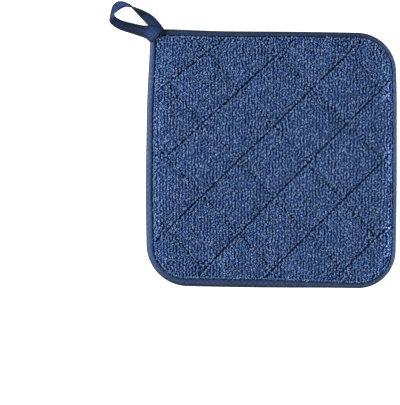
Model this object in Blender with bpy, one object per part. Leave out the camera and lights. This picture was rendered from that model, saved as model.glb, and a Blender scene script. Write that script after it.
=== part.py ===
"""A quilted terry pot holder: a filled pad, bound with cotton tape, with a hanging loop of the same tape.

It lies on its back on the plane z = 0, in metres. +X points to its right edge, +Y to its upper edge and
+Z out of its front face. The origin is on the pad's underside, in the middle.
"""

import math
from collections import namedtuple

import bmesh
import bpy
import numpy as np
from mathutils import Vector
from mathutils.geometry import delaunay_2d_cdt

MM = 0.001
GAP = 0.3 * MM
INSIDE_CONSTRAINTS = 1  # delaunay_2d_cdt then keeps only the triangles inside the outline

# Plan of the holder, measured over the binding. Sewing has pulled each corner a little off true.
WIDTH = 175.0 * MM
HEIGHT = 180.0 * MM
Corner = namedtuple("Corner", "side_x side_y radius_mm pull_x_mm pull_y_mm")
CORNERS = (
    Corner(-1, -1, 28.0, 0.0, 0.0),
    Corner(1, -1, 26.3, 0.2, -0.7),
    Corner(1, 1, 26.8, -1.0, -0.3),
    Corner(-1, 1, 6.0, 1.1, 1.2),
)
PULL_REACH = 38.0 * MM

# How far each side bows out in its middle, or in where negative, and how far all of them waver
BOW_LEFT = 1.6 * MM
BOW_RIGHT = 0.7 * MM
BOW_TOP = 0.0 * MM
BOW_BOTTOM = 0.8 * MM
WAVER = 0.12 * MM

# Pad, from the table up
RIM_BOTTOM = 1.8 * MM
RIM_TOP = 3.6 * MM
SEAM_BOTTOM = 1.3 * MM
SEAM_TOP = 4.3 * MM
CROWN_RISE = 3.7 * MM
CROWN_DROP = 2.2 * MM
CROWN_BOXINESS = 0.4  # 1 gives plain sine waves, and less gives flatter crowns with narrower channels
CROWN_UNEVEN = 0.10
RIM_ROLL = 10.0 * MM

# Quilting: each line's distance from the origin, and how far it turns from a true diagonal
StitchLine = namedtuple("StitchLine", "offset_mm turn_deg")
RISING_LINES = (
    StitchLine(-87.2, -5.5),
    StitchLine(-51.2, -1.5),
    StitchLine(-15.5, 0.0),
    StitchLine(20.1, 1.0),
    StitchLine(55.4, 0.0),
    StitchLine(90.7, -0.5),
)
FALLING_LINES = (
    StitchLine(-87.5, -3.5),
    StitchLine(-52.6, -1.5),
    StitchLine(-17.6, -1.0),
    StitchLine(16.6, -2.0),
    StitchLine(54.4, 0.5),
    StitchLine(91.4, -2.5),
)
QUILT_PITCH = 35.6 * MM

# Where points stand across one diamond, as shares of its width: close together beside the stitching
FRONT_SHARES = (0.0, 0.04, 0.12, 0.25, 0.42, 0.58, 0.75, 0.88, 0.96)
BACK_SHARES = (0.0, 0.12, 0.32, 0.50, 0.68, 0.88)
BESIDE_SEAM = 0.15

# Rings of points that run round the pad: how far inside the start of its puff they lie, and their spacing
Ring = namedtuple("Ring", "depth_mm spacing_mm")
FRONT_RINGS = (Ring(0.0, 5.0), Ring(0.6, 5.0), Ring(2.6, 5.0), Ring(5.6, 5.0))
BACK_RINGS = (Ring(0.0, 8.0), Ring(4.0, 7.5))
RIM_SPACING = 8.0 * MM

# Binding tape, folded over the rim
BINDING_BOTTOM = 0.4 * MM
BINDING_TOP = 5.0 * MM
BINDING_LIP = 3.6 * MM
BINDING_BACK_LIP = 4.0 * MM
PUFF_START = 4.1 * MM
BINDING_WALL = 0.9 * MM
BINDING_SPACING = 8.0 * MM
ARC_STEP = math.radians(11.0)

# Hanging loop: a flat tape, from the end sewn over the corner, round the eye and back under that end.
# Each row crosses it from its first edge to its second: z_mm is the height of its middle, and rise_mm how
# much higher the second edge is. The first edge is next to the eye until the tape's half twist, which comes
# where that edge passes under the second.
TAPE_THICKNESS = 1.1 * MM
TAPE_WIDTH = 6.7 * MM
TapeRow = namedtuple("TapeRow", "first_x_mm first_y_mm second_x_mm second_y_mm z_mm rise_mm")
LOOP_ROWS = (
    TapeRow(-78.1, 90.7, -83.2, 82.2, 7.4, 0.0),
    TapeRow(-81.2, 92.2, -86.4, 81.2, 7.4, 0.0),
    TapeRow(-85.5, 93.1, -89.0, 83.4, 7.2, 0.0),
    TapeRow(-89.0, 93.4, -91.4, 84.6, 6.9, 0.0),
    TapeRow(-92.0, 93.5, -94.1, 85.5, 6.5, 0.0),
    TapeRow(-98.7, 94.9, -100.7, 87.6, 5.4, 0.0),
    TapeRow(-106.3, 96.9, -108.7, 90.3, 4.5, 0.0),
    TapeRow(-110.1, 99.0, -113.9, 93.8, 4.0, 1.6),
    TapeRow(-111.4, 100.2, -115.3, 96.5, 3.9, 3.9),
    TapeRow(-112.0, 101.0, -114.9, 98.9, 3.9, 5.7),
    TapeRow(-112.1, 101.7, -114.6, 101.0, 3.9, 6.2),
    TapeRow(-111.4, 102.4, -114.1, 103.3, 3.9, 6.1),
    TapeRow(-109.3, 103.8, -113.1, 107.1, 3.9, 4.5),
    TapeRow(-107.2, 105.2, -110.1, 109.9, 3.9, 3.8),
    TapeRow(-104.8, 106.4, -106.0, 110.0, 3.9, 5.5),
    TapeRow(-102.7, 106.9, -102.7, 108.6, 4.0, 6.5),
    TapeRow(-100.7, 106.7, -100.5, 107.3, 4.1, 6.7),
    TapeRow(-97.9, 106.4, -99.2, 105.5, 4.1, 6.5),
    TapeRow(-94.8, 105.5, -97.1, 103.3, 4.1, 5.9),
    TapeRow(-91.4, 104.3, -94.8, 100.7, 4.3, 4.5),
    TapeRow(-87.1, 102.0, -91.9, 97.1, 4.7, 0.0),
    TapeRow(-83.5, 99.2, -89.3, 94.3, 5.2, 0.0),
    TapeRow(-80.2, 95.5, -86.5, 91.5, 5.7, 0.0),
    TapeRow(-76.8, 91.0, -84.0, 88.2, 6.0, 0.0),
)
STEPS_PER_ROW = 4
SEAM_LOW = (-84.3 * MM, 81.0 * MM)
SEAM_HIGH = (-79.2 * MM, 89.5 * MM)

# Colours, as linear red, green and blue
TERRY_BLUE = (0.060, 0.110, 0.255)
BINDING_BLUE = (0.050, 0.092, 0.215)
LOOP_BLUE = (0.030, 0.058, 0.165)


def clear_scene():
    for old in list(bpy.data.objects):
        bpy.data.objects.remove(old, do_unlink=True)


def cloth_material(name, colour, roughness):
    material = bpy.data.materials.new(name)
    material.use_nodes = True
    shader = material.node_tree.nodes["Principled BSDF"]
    shader.inputs["Base Color"].default_value = (*colour, 1.0)
    shader.inputs["Roughness"].default_value = roughness
    shader.inputs["Metallic"].default_value = 0.0
    return material


def add_object(name, bm, material):
    bmesh.ops.recalc_face_normals(bm, faces=bm.faces)
    mesh = bpy.data.meshes.new(name)
    bm.to_mesh(mesh)
    bm.free()
    mesh.shade_smooth()
    mesh.set_sharp_from_angle(angle=math.radians(50.0))
    mesh.materials.append(material)
    obj = bpy.data.objects.new(name, mesh)
    bpy.context.scene.collection.objects.link(obj)
    return obj


def bowed(x, y):
    """Where a point of the true plan lies in the sewn one, with its bowed sides and pulled corners."""
    across, along = x / (WIDTH / 2), y / (HEIGHT / 2)
    bow_x = np.where(across < 0, BOW_LEFT, BOW_RIGHT) * (1 - along**2)
    bow_y = np.where(along < 0, BOW_BOTTOM, BOW_TOP) * (1 - across**2)
    shift_x = across * (bow_x + WAVER * np.sin(5.6 * along + 3.3))
    shift_y = along * (bow_y + WAVER * np.sin(3.1 * across + 1.65))
    for corner in CORNERS:
        distance = np.hypot(x - corner.side_x * WIDTH / 2, y - corner.side_y * HEIGHT / 2)
        share = np.exp(-((distance / PULL_REACH) ** 3))
        shift_x = shift_x + share * corner.pull_x_mm * MM
        shift_y = shift_y + share * corner.pull_y_mm * MM
    return x + shift_x, y + shift_y


def outline(inset, spacing):
    """Points round the holder at this distance inside its outer edge, anticlockwise, with their outward
    directions. It starts and ends in the middle of the upper left corner."""
    points, outward = [], []

    def place(centre, radius, angle):
        direction = (math.cos(angle), math.sin(angle))
        points.append((centre[0] + radius * direction[0], centre[1] + radius * direction[1]))
        outward.append(direction)

    arcs = []
    for corner in CORNERS:
        radius = max(corner.radius_mm * MM - inset, MM)
        reach = inset + radius
        centre = (corner.side_x * (WIDTH / 2 - reach), corner.side_y * (HEIGHT / 2 - reach))
        middle = math.atan2(corner.side_y, corner.side_x)
        arcs.append((centre, radius, middle - math.pi / 4, middle + math.pi / 4))
    last_centre, last_radius, last_start, last_end = arcs[-1]
    halfway = (last_start + last_end) / 2
    stretches = [
        (last_centre, last_radius, halfway, last_end),
        *arcs[:-1],
        (last_centre, last_radius, last_start, halfway),
    ]
    for index, (centre, radius, start, end) in enumerate(stretches):
        steps = max(2, math.ceil((end - start) / ARC_STEP))
        for step in range(steps + 1):
            place(centre, radius, start + (end - start) * step / steps)
        if index + 1 == len(stretches):
            break
        next_centre, next_radius, next_start, _ = stretches[index + 1]
        here = Vector(points[-1])
        there = Vector(next_centre) + next_radius * Vector((math.cos(next_start), math.sin(next_start)))
        count = max(1, round((there - here).length / spacing))
        for step in range(1, count):
            points.append(tuple(here.lerp(there, step / count)))
            outward.append(outward[-1])
    return points, outward


def closed_ring(inset, spacing):
    points, _ = outline(inset, spacing)
    return points[:-1]


def outline_distance(x, y):
    """How far inside the holder's outer edge a point lies."""
    radius = np.zeros_like(x)
    for corner in CORNERS:
        nearest = (x * corner.side_x >= 0) & (y * corner.side_y >= 0)
        radius = np.where(nearest, corner.radius_mm * MM, radius)
    over_x = np.abs(x) - (WIDTH / 2 - radius)
    over_y = np.abs(y) - (HEIGHT / 2 - radius)
    outside = np.hypot(np.maximum(over_x, 0), np.maximum(over_y, 0))
    return radius - outside - np.minimum(np.maximum(over_x, over_y), 0)


def edge_distance(x, y):
    """The same, but the loop's sewn end counts as binding too."""
    seam = Vector(SEAM_HIGH) - Vector(SEAM_LOW)
    away = Vector((seam.y, -seam.x)).normalized()
    from_seam = (x - SEAM_LOW[0]) * away.x + (y - SEAM_LOW[1]) * away.y
    return np.minimum(outline_distance(x, y), PUFF_START + from_seam)


def line_normals(lines, rises):
    """Each line's unit normal and offset. The normals point to the right, so the offsets grow that way."""
    rows = []
    for line in lines:
        if rises:
            slope = math.radians(45.0 + line.turn_deg)
            normal = (math.sin(slope), -math.cos(slope))
        else:
            slope = math.radians(-45.0 + line.turn_deg)
            normal = (-math.sin(slope), math.cos(slope))
        rows.append((*normal, line.offset_mm * MM))
    first, last = rows[0], rows[-1]
    before = (first[0], first[1], first[2] - QUILT_PITCH)
    after = (last[0], last[1], last[2] + QUILT_PITCH)
    return [before, *rows, after]


RISING = line_normals(RISING_LINES, rises=True)
FALLING = line_normals(FALLING_LINES, rises=False)


def place_between(x, y, lines):
    """Which two stitch lines a point lies between, and its share of the way from one to the next."""
    distances = np.array([x * nx + y * ny - offset for nx, ny, offset in lines])
    index = np.clip(np.sum(distances > 0, axis=0) - 1, 0, len(lines) - 2)
    near = np.take_along_axis(distances, index[None], axis=0)[0]
    far = np.take_along_axis(distances, index[None] + 1, axis=0)[0]
    return index, np.clip(near / (near - far), 0, 1)


def puff(x, y):
    """0 on the stitching and at the binding, and about 1 in the middle of a whole diamond."""
    row, along_row = place_between(x, y, RISING)
    column, along_column = place_between(x, y, FALLING)
    crown = (np.sin(math.pi * along_row) * np.sin(math.pi * along_column)) ** CROWN_BOXINESS
    uneven = 1 + CROWN_UNEVEN * np.sin(2.4 * row + 4.1 * column)
    return crown * uneven * rim_rise(x, y)


def rim_rise(x, y):
    """0 under the binding's lip, then a quarter round up to 1."""
    share = np.clip((edge_distance(x, y) - PUFF_START) / RIM_ROLL, 0, 1)
    return np.sqrt(1 - (1 - share) ** 2)


def front_height(x, y):
    return RIM_TOP + (SEAM_TOP - RIM_TOP) * rim_rise(x, y) + CROWN_RISE * puff(x, y)


def back_height(x, y):
    """The diamonds hang below the stitching and are flat where they rest."""
    seam = RIM_BOTTOM + (SEAM_BOTTOM - RIM_BOTTOM) * rim_rise(x, y)
    return np.maximum(seam - CROWN_DROP * puff(x, y), 0)


def crossing(line, other):
    (ax, ay, a), (bx, by, b) = line, other
    scale = ax * by - ay * bx
    return ((a * by - b * ay) / scale, (ax * b - bx * a) / scale)


def between_lines(lines, shares):
    """Each line, and the lines between it and the next that stand at these shares of the way."""
    found = []
    for line, following in zip(lines, lines[1:]):
        found += [tuple(a + (b - a) * share for a, b in zip(line, following)) for share in shares]
    return [*found, lines[-1]]


def quilt_points(shares, clear_of_edge):
    """A net of points over every diamond. It comes closest to the edge where two stitch lines cross."""
    rows, columns = between_lines(RISING, shares), between_lines(FALLING, shares)
    grid = np.array([[crossing(row, column) for column in columns] for row in rows])
    beside = [min(share, 1 - share) < BESIDE_SEAM for share in shares]
    beside_row = np.resize(beside, len(rows))
    beside_column = np.resize(beside, len(columns))
    least = np.where(np.outer(beside_row, beside_column), PUFF_START + GAP, clear_of_edge)
    return grid[edge_distance(grid[..., 0], grid[..., 1]) > least]


def ring_crossings(line, inset):
    """Where a line crosses the ring that runs round at this distance inside the outer edge."""
    length = math.hypot(line[0], line[1])
    across, rise, offset = (value / length for value in line)
    along = np.arange(-HEIGHT, HEIGHT, MM)
    x, y = across * offset - rise * along, rise * offset + across * along
    over = outline_distance(x, y) - inset
    before = np.nonzero(over[:-1] * over[1:] < 0)[0]
    share = over[before] / (over[before] - over[before + 1])
    return [(across * offset - rise * t, rise * offset + across * t) for t in along[before] + share * MM]


def ring_points(inset, spacing, lines):
    """A ring's points in order: where it crosses these lines, and others where no stitching shows."""
    x, y = np.array(closed_ring(inset, spacing)).T
    shares = np.array([place_between(x, y, RISING)[1], place_between(x, y, FALLING)[1]])
    clear = (np.minimum(shares, 1 - shares) > BESIDE_SEAM).all(axis=0)
    clear |= edge_distance(x, y) < inset - GAP
    points = list(zip(x[clear], y[clear]))
    for line in lines:
        points += ring_crossings(line, inset)
    return sorted(points, key=lambda point: math.atan2(point[1], point[0]))


def seam_edges(points):
    """The edges that join the points along each stitch line, so that no face crosses the stitching."""
    inside = outline_distance(points[:, 0], points[:, 1]) > PUFF_START - GAP
    edges = []
    for across, rise, offset in RISING + FALLING:
        away = np.abs(points[:, 0] * across + points[:, 1] * rise - offset)
        found = np.nonzero((away < 1e-3 * MM) & inside)[0]
        along = points[found, 1] * across - points[found, 0] * rise
        order = found[np.argsort(along)]
        edges += list(zip(order[:-1].tolist(), order[1:].tolist()))
    return edges


def pad_face(rim, rings, shares):
    """A triangle net over the pad's plan: (points, triangles), with the rim's points first."""
    innermost = PUFF_START + max(ring.depth_mm for ring in rings) * MM
    spacing = max(ring.spacing_mm for ring in rings) * MM
    beside = [share for share in shares if min(share, 1 - share) < BESIDE_SEAM]
    lines = between_lines(RISING, beside) + between_lines(FALLING, beside)
    points, edges = list(rim), []
    for ring in rings:
        start = len(points)
        points += ring_points(PUFF_START + ring.depth_mm * MM, ring.spacing_mm * MM, lines)
        count = len(points) - start
        edges += [(start + k, start + (k + 1) % count) for k in range(count)]
    points = np.vstack((points, quilt_points(shares, innermost + spacing / 3)))
    edges += seam_edges(points)
    flat = [Vector(point) for point in points.tolist()]
    found = delaunay_2d_cdt(flat, edges, [list(range(len(rim)))], INSIDE_CONSTRAINTS, GAP / 2)
    return np.array([tuple(p) for p in found[0]]), [tuple(face) for face in found[2]]


def same_place(point):
    return (round(point[0] * 1e6), round(point[1] * 1e6))


def quilted_pad():
    """One filled solid: terry on both faces, sewn through along the diamonds, pressed thin at its rim."""
    rim = closed_ring(BINDING_WALL + GAP, RIM_SPACING)
    bm = bmesh.new()
    rims = []
    for rings, shares, height, rim_height, upwards in (
        (FRONT_RINGS, FRONT_SHARES, front_height, RIM_TOP, True),
        (BACK_RINGS, BACK_SHARES, back_height, RIM_BOTTOM, False),
    ):
        points, triangles = pad_face(rim, rings, shares)
        heights = height(points[:, 0], points[:, 1])
        x, y = bowed(points[:, 0], points[:, 1])
        verts = [bm.verts.new(place) for place in zip(x, y, heights)]
        by_place = {same_place(point): vert for point, vert in zip(points, verts)}
        for point in rim:
            by_place[same_place(point)].co.z = rim_height
        for triangle in triangles:
            corners = [verts[k] for k in triangle]
            bm.faces.new(corners if upwards else corners[::-1])
        rims.append([by_place[same_place(point)] for point in rim])
    front, back = rims
    for k in range(len(rim)):
        following = (k + 1) % len(rim)
        bm.faces.new((back[k], back[following], front[following], front[k]))
    bmesh.ops.delete(bm, geom=[v for v in bm.verts if not v.link_faces], context="VERTS")
    bmesh.ops.triangulate(bm, faces=bm.faces)
    return add_object("quilted_pad", bm, cloth_material("blue_terry", TERRY_BLUE, 0.95))


def binding_profile(fullness, lip, back_lip):
    """The folded tape's section, as (distance inside the outer edge, height), from lip to lip and back
    round the slot that holds the rim. It is fullest over the rim, and thin where the lips are sewn down."""
    middle = (BINDING_TOP + BINDING_BOTTOM) / 2
    half = (BINDING_TOP - BINDING_BOTTOM) / 2 * fullness
    slot_top, slot_bottom = RIM_TOP + GAP, RIM_BOTTOM - GAP
    lip_thickness = 0.45 * MM

    def face(reach):
        return [
            (reach, slot_top + lip_thickness),
            (reach - 0.8 * MM, middle + half * 0.86),
            (reach - 1.7 * MM, middle + half),
            (1.1 * MM, middle + half * 0.95),
            (0.35 * MM, middle + half * 0.62),
        ]

    lower = [(inset, 2 * middle - height) for inset, height in reversed(face(back_lip))]
    slot = [
        (back_lip, slot_bottom),
        (BINDING_WALL, slot_bottom),
        (BINDING_WALL, slot_top),
        (lip, slot_top),
    ]
    return [*face(lip), (0.0, middle), *lower, *slot]


def edge_binding():
    """The tape, folded over the rim and sewn round it, its two ends meeting under the loop."""
    path, outward = outline(0.0, BINDING_SPACING)
    shift = {0: GAP / 2, len(path) - 1: -GAP / 2}
    bm = bmesh.new()
    sections = []
    for index, ((x, y), (out_x, out_y)) in enumerate(zip(path, outward)):
        fullness = 1 - 0.03 * (1 + math.sin(1.7 * index))
        uneven = 0.15 * MM * (1 + math.sin(2.3 * index + 1.0))
        x -= shift.get(index, 0.0) * out_y
        y += shift.get(index, 0.0) * out_x
        section = []
        for inset, height in binding_profile(fullness, BINDING_LIP - uneven, BINDING_BACK_LIP - uneven):
            place = bowed(x - inset * out_x, y - inset * out_y)
            section.append(bm.verts.new((*place, height)))
        sections.append(section)
    join_sections(bm, sections, binding_profile(1.0, BINDING_LIP, BINDING_BACK_LIP))
    return add_object("edge_binding", bm, cloth_material("blue_binding", BINDING_BLUE, 0.85))


def join_sections(bm, sections, profile):
    """Skins the sections one after another, and caps both ends with triangles laid out on the profile."""
    count = len(profile)
    for section, following in zip(sections, sections[1:]):
        for k in range(count):
            n = (k + 1) % count
            bm.faces.new((section[k], section[n], following[n], following[k]))
    flat = [Vector(point) / MM for point in profile]
    cap = delaunay_2d_cdt(flat, [], [list(range(count))], INSIDE_CONSTRAINTS, 1e-6)[2]
    for section in (sections[0], sections[-1]):
        for triangle in cap:
            bm.faces.new([section[k] for k in triangle])
    bmesh.ops.triangulate(bm, faces=bm.faces)


def smooth_rows(rows, steps):
    """Rows between the given ones, on a curve that passes through each of them."""
    rows = np.array(rows, float)
    padded = np.vstack((2 * rows[0] - rows[1], rows, 2 * rows[-1] - rows[-2]))
    result = []
    for before, start, end, after in zip(padded, padded[1:], padded[2:], padded[3:]):
        for t in np.arange(steps) / steps:
            bend = (2 * before - 5 * start + 4 * end - after) * t**2
            twist = (3 * start - before - 3 * end + after) * t**3
            result.append((2 * start + (end - before) * t + bend + twist) / 2)
    result.append(rows[-1])
    return np.array(result)


def tape_profile(width):
    """The flat tape's section, as (distance towards its second edge, distance out of its face)."""
    half, thick = width / 2, TAPE_THICKNESS / 2
    side = 0.45 * MM
    return [
        (half, 0.0),
        (half - side, thick),
        (0.0, thick),
        (side - half, thick),
        (-half, 0.0),
        (side - half, -thick),
        (0.0, -thick),
        (half - side, -thick),
    ]


def hanging_loop():
    """The tape leaves the corner flat, leans over round the far end, twists and comes back flat."""
    rows = smooth_rows(LOOP_ROWS, STEPS_PER_ROW) * MM
    lift = rows[:, 5:] / 2
    first = np.hstack((rows[:, 0:2], rows[:, 4:5] - lift))
    second = np.hstack((rows[:, 2:4], rows[:, 4:5] + lift))
    headings = np.gradient((first + second) / 2, axis=0)
    bm = bmesh.new()
    sections = []
    for one_edge, other_edge, heading in zip(first, second, headings):
        middle = Vector((one_edge + other_edge) / 2)
        across = Vector(other_edge - one_edge)
        width = across.length
        across.normalize()
        face = across.cross(Vector(heading)).normalized()
        section = [bm.verts.new(middle + across * out + face * rise) for out, rise in tape_profile(width)]
        sections.append(section)
    join_sections(bm, sections, tape_profile(TAPE_WIDTH))
    return add_object("hanging_loop", bm, cloth_material("blue_tape", LOOP_BLUE, 0.85))


clear_scene()
quilted_pad()
edge_binding()
hanging_loop()
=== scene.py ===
"""The looks of a quilted terry pot holder with a tape binding and a tape hanging loop.

It lies on its back on a pale floor at z = 0, in metres, with the camera straight above. +X is to the right
of the picture, +Y is up in it and +Z comes towards the camera.

The ground cloth, the binding tape and the loop's tape take the place of the three solids. The pile's loops,
the quilting thread and the edge stitches are added to them.
"""

import math
from collections import namedtuple

import bmesh
import bpy
import numpy as np
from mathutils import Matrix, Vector, noise
from mathutils.bvhtree import BVHTree


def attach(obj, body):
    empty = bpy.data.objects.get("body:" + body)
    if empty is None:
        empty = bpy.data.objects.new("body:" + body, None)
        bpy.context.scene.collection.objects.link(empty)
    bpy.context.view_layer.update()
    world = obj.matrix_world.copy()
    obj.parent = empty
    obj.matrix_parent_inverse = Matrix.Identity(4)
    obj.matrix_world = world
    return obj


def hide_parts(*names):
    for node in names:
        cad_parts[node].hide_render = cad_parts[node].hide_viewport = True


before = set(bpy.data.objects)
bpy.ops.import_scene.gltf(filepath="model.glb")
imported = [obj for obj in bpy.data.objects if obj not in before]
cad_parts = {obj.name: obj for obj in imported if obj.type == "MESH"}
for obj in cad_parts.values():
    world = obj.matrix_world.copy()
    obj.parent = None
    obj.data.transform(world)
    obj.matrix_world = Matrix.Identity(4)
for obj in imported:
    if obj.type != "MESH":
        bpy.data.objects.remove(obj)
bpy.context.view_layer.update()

MM = 0.001
UP = np.array((0.0, 0.0, 1.0))
TINY = 1e-12
NEAR = 0.1 * MM
ABOVE_ALL = 50 * MM

# Plan of the holder, measured over the binding, as in the solids
WIDTH = 175.0 * MM
HEIGHT = 180.0 * MM
Corner = namedtuple("Corner", "side_x side_y radius_mm pull_x_mm pull_y_mm")
CORNERS = (
    Corner(-1, -1, 28.0, 0.0, 0.0),
    Corner(1, -1, 26.3, 0.2, -0.7),
    Corner(1, 1, 26.8, -1.0, -0.3),
    Corner(-1, 1, 6.0, 1.1, 1.2),
)
PULL_REACH = 38.0 * MM
BOW_LEFT = 1.6 * MM
BOW_RIGHT = 0.7 * MM
BOW_TOP = 0.0 * MM
BOW_BOTTOM = 0.8 * MM

# The slight waver of the sides: its depth, and its turn and start along the upright and the level ones
WAVER = 0.12 * MM
Wave = namedtuple("Wave", "turn start")
UPRIGHT_WAVE = Wave(5.6, 3.3)
LEVEL_WAVE = Wave(3.1, 1.65)

# Quilting: each line's distance from the origin, and how far it turns from a true diagonal
StitchLine = namedtuple("StitchLine", "offset_mm turn_deg")
RISING_LINES = (
    StitchLine(-87.2, -5.5),
    StitchLine(-51.2, -1.5),
    StitchLine(-15.5, 0.0),
    StitchLine(20.1, 1.0),
    StitchLine(55.4, 0.0),
    StitchLine(90.7, -0.5),
)
FALLING_LINES = (
    StitchLine(-87.5, -3.5),
    StitchLine(-52.6, -1.5),
    StitchLine(-17.6, -1.0),
    StitchLine(16.6, -2.0),
    StitchLine(54.4, 0.5),
    StitchLine(91.4, -2.5),
)

# Terry: the core of cloth and wadding between the two piles, how deep the piles are on it, and how near the
# solid's points lie that are one point of the cloth
CORE_FRONT = 3.5 * MM
CORE_BACK = 1.9 * MM
SHORTEST_PILE = 0.3 * MM
LONGEST_PILE = 1.7 * MM
WELD = 0.01 * MM

# The two piles: how far apart their loops stand across and along the upright columns, how far they stand to
# the side in turn, the radius of their yarn, the sides and points of its tubes, and the bands that each pile
# is parted into
Pile = namedtuple("Pile", "name across along stagger yarn sides points bands front seed")
PILES = (
    Pile("terry_front", 2.16 * MM, 0.92 * MM, 0.28 * MM, 0.42 * MM, 4, 5, 4, True, 11),
    Pile("terry_back", 2.2 * MM, 1.6 * MM, 0.30 * MM, 0.52 * MM, 3, 5, 2, False, 12),
)

# Where the loops stand: the columns wander, though less on the left, and no loop stands too near to a seam,
# the binding or the hanging loop. The falling seams were sewn first, so the pile has closed over them more.
FIRST_COLUMN = -80.4 * MM
STRAIGHT_TO = -80.0 * MM
WANDERS_FROM = -60.0 * MM
LEAST_WANDER = 0.25
WANDER = 0.55 * MM
WANDER_SIZE = 8.0 * MM
NOISE_GAIN = 1.6
UNEVEN_ACROSS = 0.19 * MM
UNEVEN_ALONG = 0.45 * MM
RISING_CLEAR = 1.25 * MM
FALLING_CLEAR = 0.85 * MM
BINDING_CLEAR = 1.2 * MM
LOOP_CLEAR = 0.25 * MM

# How far the row of loops along the binding stands from it: on the left, the level sides and the right
EDGE_ROWS_MM = (1.00, 0.85, 0.75)

# How high the loops reach over the channels, at the binding and beside the hanging loop
LOWEST_TIP = 5.9 * MM
EDGE_TIP = 5.2 * MM
SWELL_REACH = 6.0 * MM
SWELL_RISE = 1.2 * MM
TIP_SLOPE = 0.35

# Painted light on the pile beside the binding on the left and on the right: how much paler it is painted
# there
RIM_LIGHT_REACH = 8.5 * MM
RIM_LIGHT_LEFT, RIM_LIGHT_RIGHT = 0.85, 1.5

# A loop's length, and how much of it is its yarn's own radius
SHORTEST_LOOP = 1.6 * MM
LENGTHS = (0.78, 1.14)
YARN_SHARE = 0.8

# How it stands: upright and a little out of the cloth's slope, leaning, turned and swaying
UPRIGHT, OUT_OF_THE_CLOTH = 0.85, 0.15
LEAN_SPREAD = 0.24
YAW_SPREAD = math.radians(28.0)
SWAY_SPREAD = 0.22 * MM
SWAY_STARTS = (0, 3)

# Its arch: its half width, the share of that at its feet and how much more there is above them, how deep its
# feet start, and how round and how evenly stepped it is
SPANS_MM = (0.28, 0.54)
FOOT_OPENING, MORE_OPENING = 0.75, 0.45
FOOT_DEPTH = 0.25 * MM
ROUNDNESS = 0.85
EVENNESS = 0.6

# Its yarn: thinner at the feet, and on the back never through the floor
YARN_RANGE = (0.80, 1.15)
FOOT_YARN, MORE_YARN = 0.82, 0.22
LOWEST_YARN = 0.05 * MM

# Sewing: the quilting, and the lighter rows that hold the binding and the loop. The binding's rows lie inside
# its lip, on the left, the level sides and the right.
Thread = namedtuple("Thread", "radius length pitch")
QUILTING = Thread(0.28 * MM, 2.9 * MM, 3.2 * MM)
TOPSTITCH = Thread(0.10 * MM, 2.0 * MM, 2.6 * MM)
TOPSTITCH_ROWS_MM = (-0.7, -0.7, -0.7)

# A stitch: the rings and sides of its tube, how deep its ends sink in radii, how much thinner they are, and
# how deep its middle lies in a tape, in radii
STITCH_RINGS, STITCH_SIDES = 5, 5
STITCH_SINK = 1.6
STITCH_TAPER = 0.35
STITCH_BED = 0.1

# Binding tape, folded over the pad's rim: how wide it shows in front, by the bearing from the pad's middle
LIP_BEARINGS_DEG = (-180, -135, -100, -84, -67, -56, -45, 0, 45, 90, 135)
LIP_WIDTHS_MM = (4.6, 5.3, 5.9, 5.3, 4.3, 3.7, 3.3, 3.1, 3.4, 4.0, 4.5)
BACK_LIP = 4.0 * MM
BINDING_STEP = 2.0 * MM
ARC_STEP = math.radians(4.0)
END_GAP = 0.15 * MM

# Its section: the height of its middle, half the height of its bead and of the slot that holds the pad, the
# cloth and how far apart its plies lie, how far it stays inside the outline, where its raw edge ends, and the
# arcs of its inner and outer ply
BINDING_MIDDLE = 2.7 * MM
BEAD_HALF = 2.1 * MM
SLOT_HALF = 1.0 * MM
CLOTH = 0.30 * MM
PLY = 0.36 * MM
EDGE_GAP = 0.03 * MM
RAW_EDGE = 0.12 * MM
TURNED_IN_DEG, TURNED_IN_POINTS = (160, 55), 6
PAST_LIP_DEG, OUTSIDE_END_DEG, OUTSIDE_POINTS = 9, 168, 9
FOLD_STEPS = 4

# Its unevenness along the edge: ripples in its width and fullness, and a slow drift in its width
Unevenness = namedtuple("Unevenness", "size depth_mm seed")
RIPPLE = Unevenness(3.0 * MM, 0.10, 3.0)
DRIFT = Unevenness(25.0 * MM, 0.18, 7.0)
BEAD_SWELL = 0.10 * MM
RIPPLE_SWELL = 0.8
RIPPLE_STRETCH = 0.018

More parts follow.
